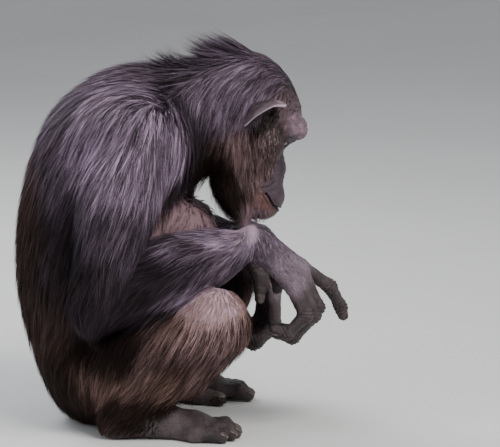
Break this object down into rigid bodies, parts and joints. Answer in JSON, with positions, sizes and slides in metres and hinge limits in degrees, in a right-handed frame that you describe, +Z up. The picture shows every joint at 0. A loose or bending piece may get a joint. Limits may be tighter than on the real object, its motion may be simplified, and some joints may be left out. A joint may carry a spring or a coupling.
{
  "type": "squatting chimpanzee model",
  "caption": "Life-size still model of an adult chimpanzee that squats with bowed head, forearms on its knees and one finger held out, with a long dark coat.",
  "frame": {"origin": "centre of the footprint box, on the floor under the animal", "axes": "+X the way the animal faces, +Y to its left side, +Z up"},
  "size_m": [0.5224, 0.493, 0.595],
  "materials": {
    "black_coat": "matte",
    "brown_coat": "matte",
    "face_skin": "matte",
    "hand_skin": "satin",
    "ear_skin": "matte",
    "eye_gloss": "gloss"
  },
  "bodies": {
    "root": {"eye_right": "eye_gloss", "eye_left": "eye_gloss", "head": "face_skin", "lower_jaw": "face_skin", "ear_right": "ear_skin", "ear_left": "ear_skin", "chest": "black_coat", "belly": "black_coat", "rump": "brown_coat", "neck": "black_coat", "hand_right": "hand_skin", "finger_index_right": "hand_skin", "finger_middle_right": "hand_skin", "finger_ring_right": "hand_skin", "finger_little_right": "hand_skin", "thumb_right": "hand_skin", "forearm_right": "black_coat", "upper_arm_right": "black_coat", "thigh_right": "brown_coat", "foot_right": "hand_skin", "shin_right": "brown_coat", "toe_second_right": "hand_skin", "toe_third_right": "hand_skin", "toe_fourth_right": "hand_skin", "toe_fifth_right": "hand_skin", "big_toe_right": "hand_skin", "hand_left": "hand_skin", "finger_index_left": "hand_skin", "finger_middle_left": "hand_skin", "finger_ring_left": "hand_skin", "finger_little_left": "hand_skin", "thumb_left": "hand_skin", "forearm_left": "black_coat", "upper_arm_left": "black_coat", "thigh_left": "brown_coat", "foot_left": "hand_skin", "shin_left": "brown_coat", "toe_second_left": "hand_skin", "toe_third_left": "hand_skin", "toe_fourth_left": "hand_skin", "toe_fifth_left": "hand_skin", "big_toe_left": "hand_skin"}
  },
  "joints": []
}
